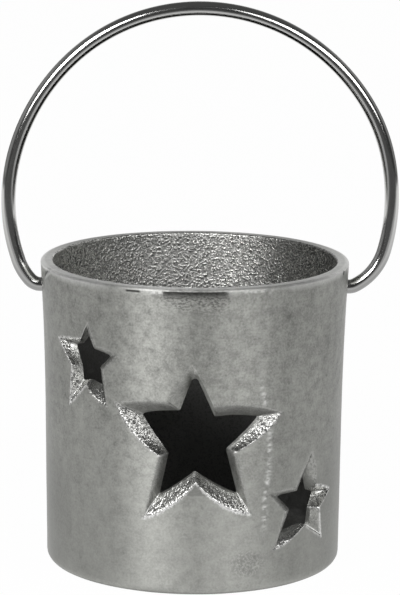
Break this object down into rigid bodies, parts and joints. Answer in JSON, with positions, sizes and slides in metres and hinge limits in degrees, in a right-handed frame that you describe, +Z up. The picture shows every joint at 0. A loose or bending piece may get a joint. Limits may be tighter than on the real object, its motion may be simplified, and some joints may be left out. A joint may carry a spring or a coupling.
{
  "type": "tealight holder",
  "caption": "Cast metal tealight cup with bevelled star openings through its wall and a round wire bail that swings over the rim.",
  "frame": {"origin": "middle of the flat base, on the cup's axis", "axes": "+Z up the cup's axis, -Y to the front where the big star is, X along the line that the bail turns about"},
  "size_m": [0.1106, 0.086, 0.1573],
  "materials": {
    "cast_aluminium": "satin outside, rough as cast inside",
    "polished_wire": "polished"
  },
  "bodies": {
    "cup": {"cup": "cast_aluminium"},
    "bail": {"bail": "polished_wire"}
  },
  "joints": [
    {"name": "bail_swing", "type": "hinge", "parent": "cup", "child": "bail", "pos_m": [0, 0, 0.0778], "axis": [1, 0, 0], "range_deg": [-145, 145]}
  ]
}
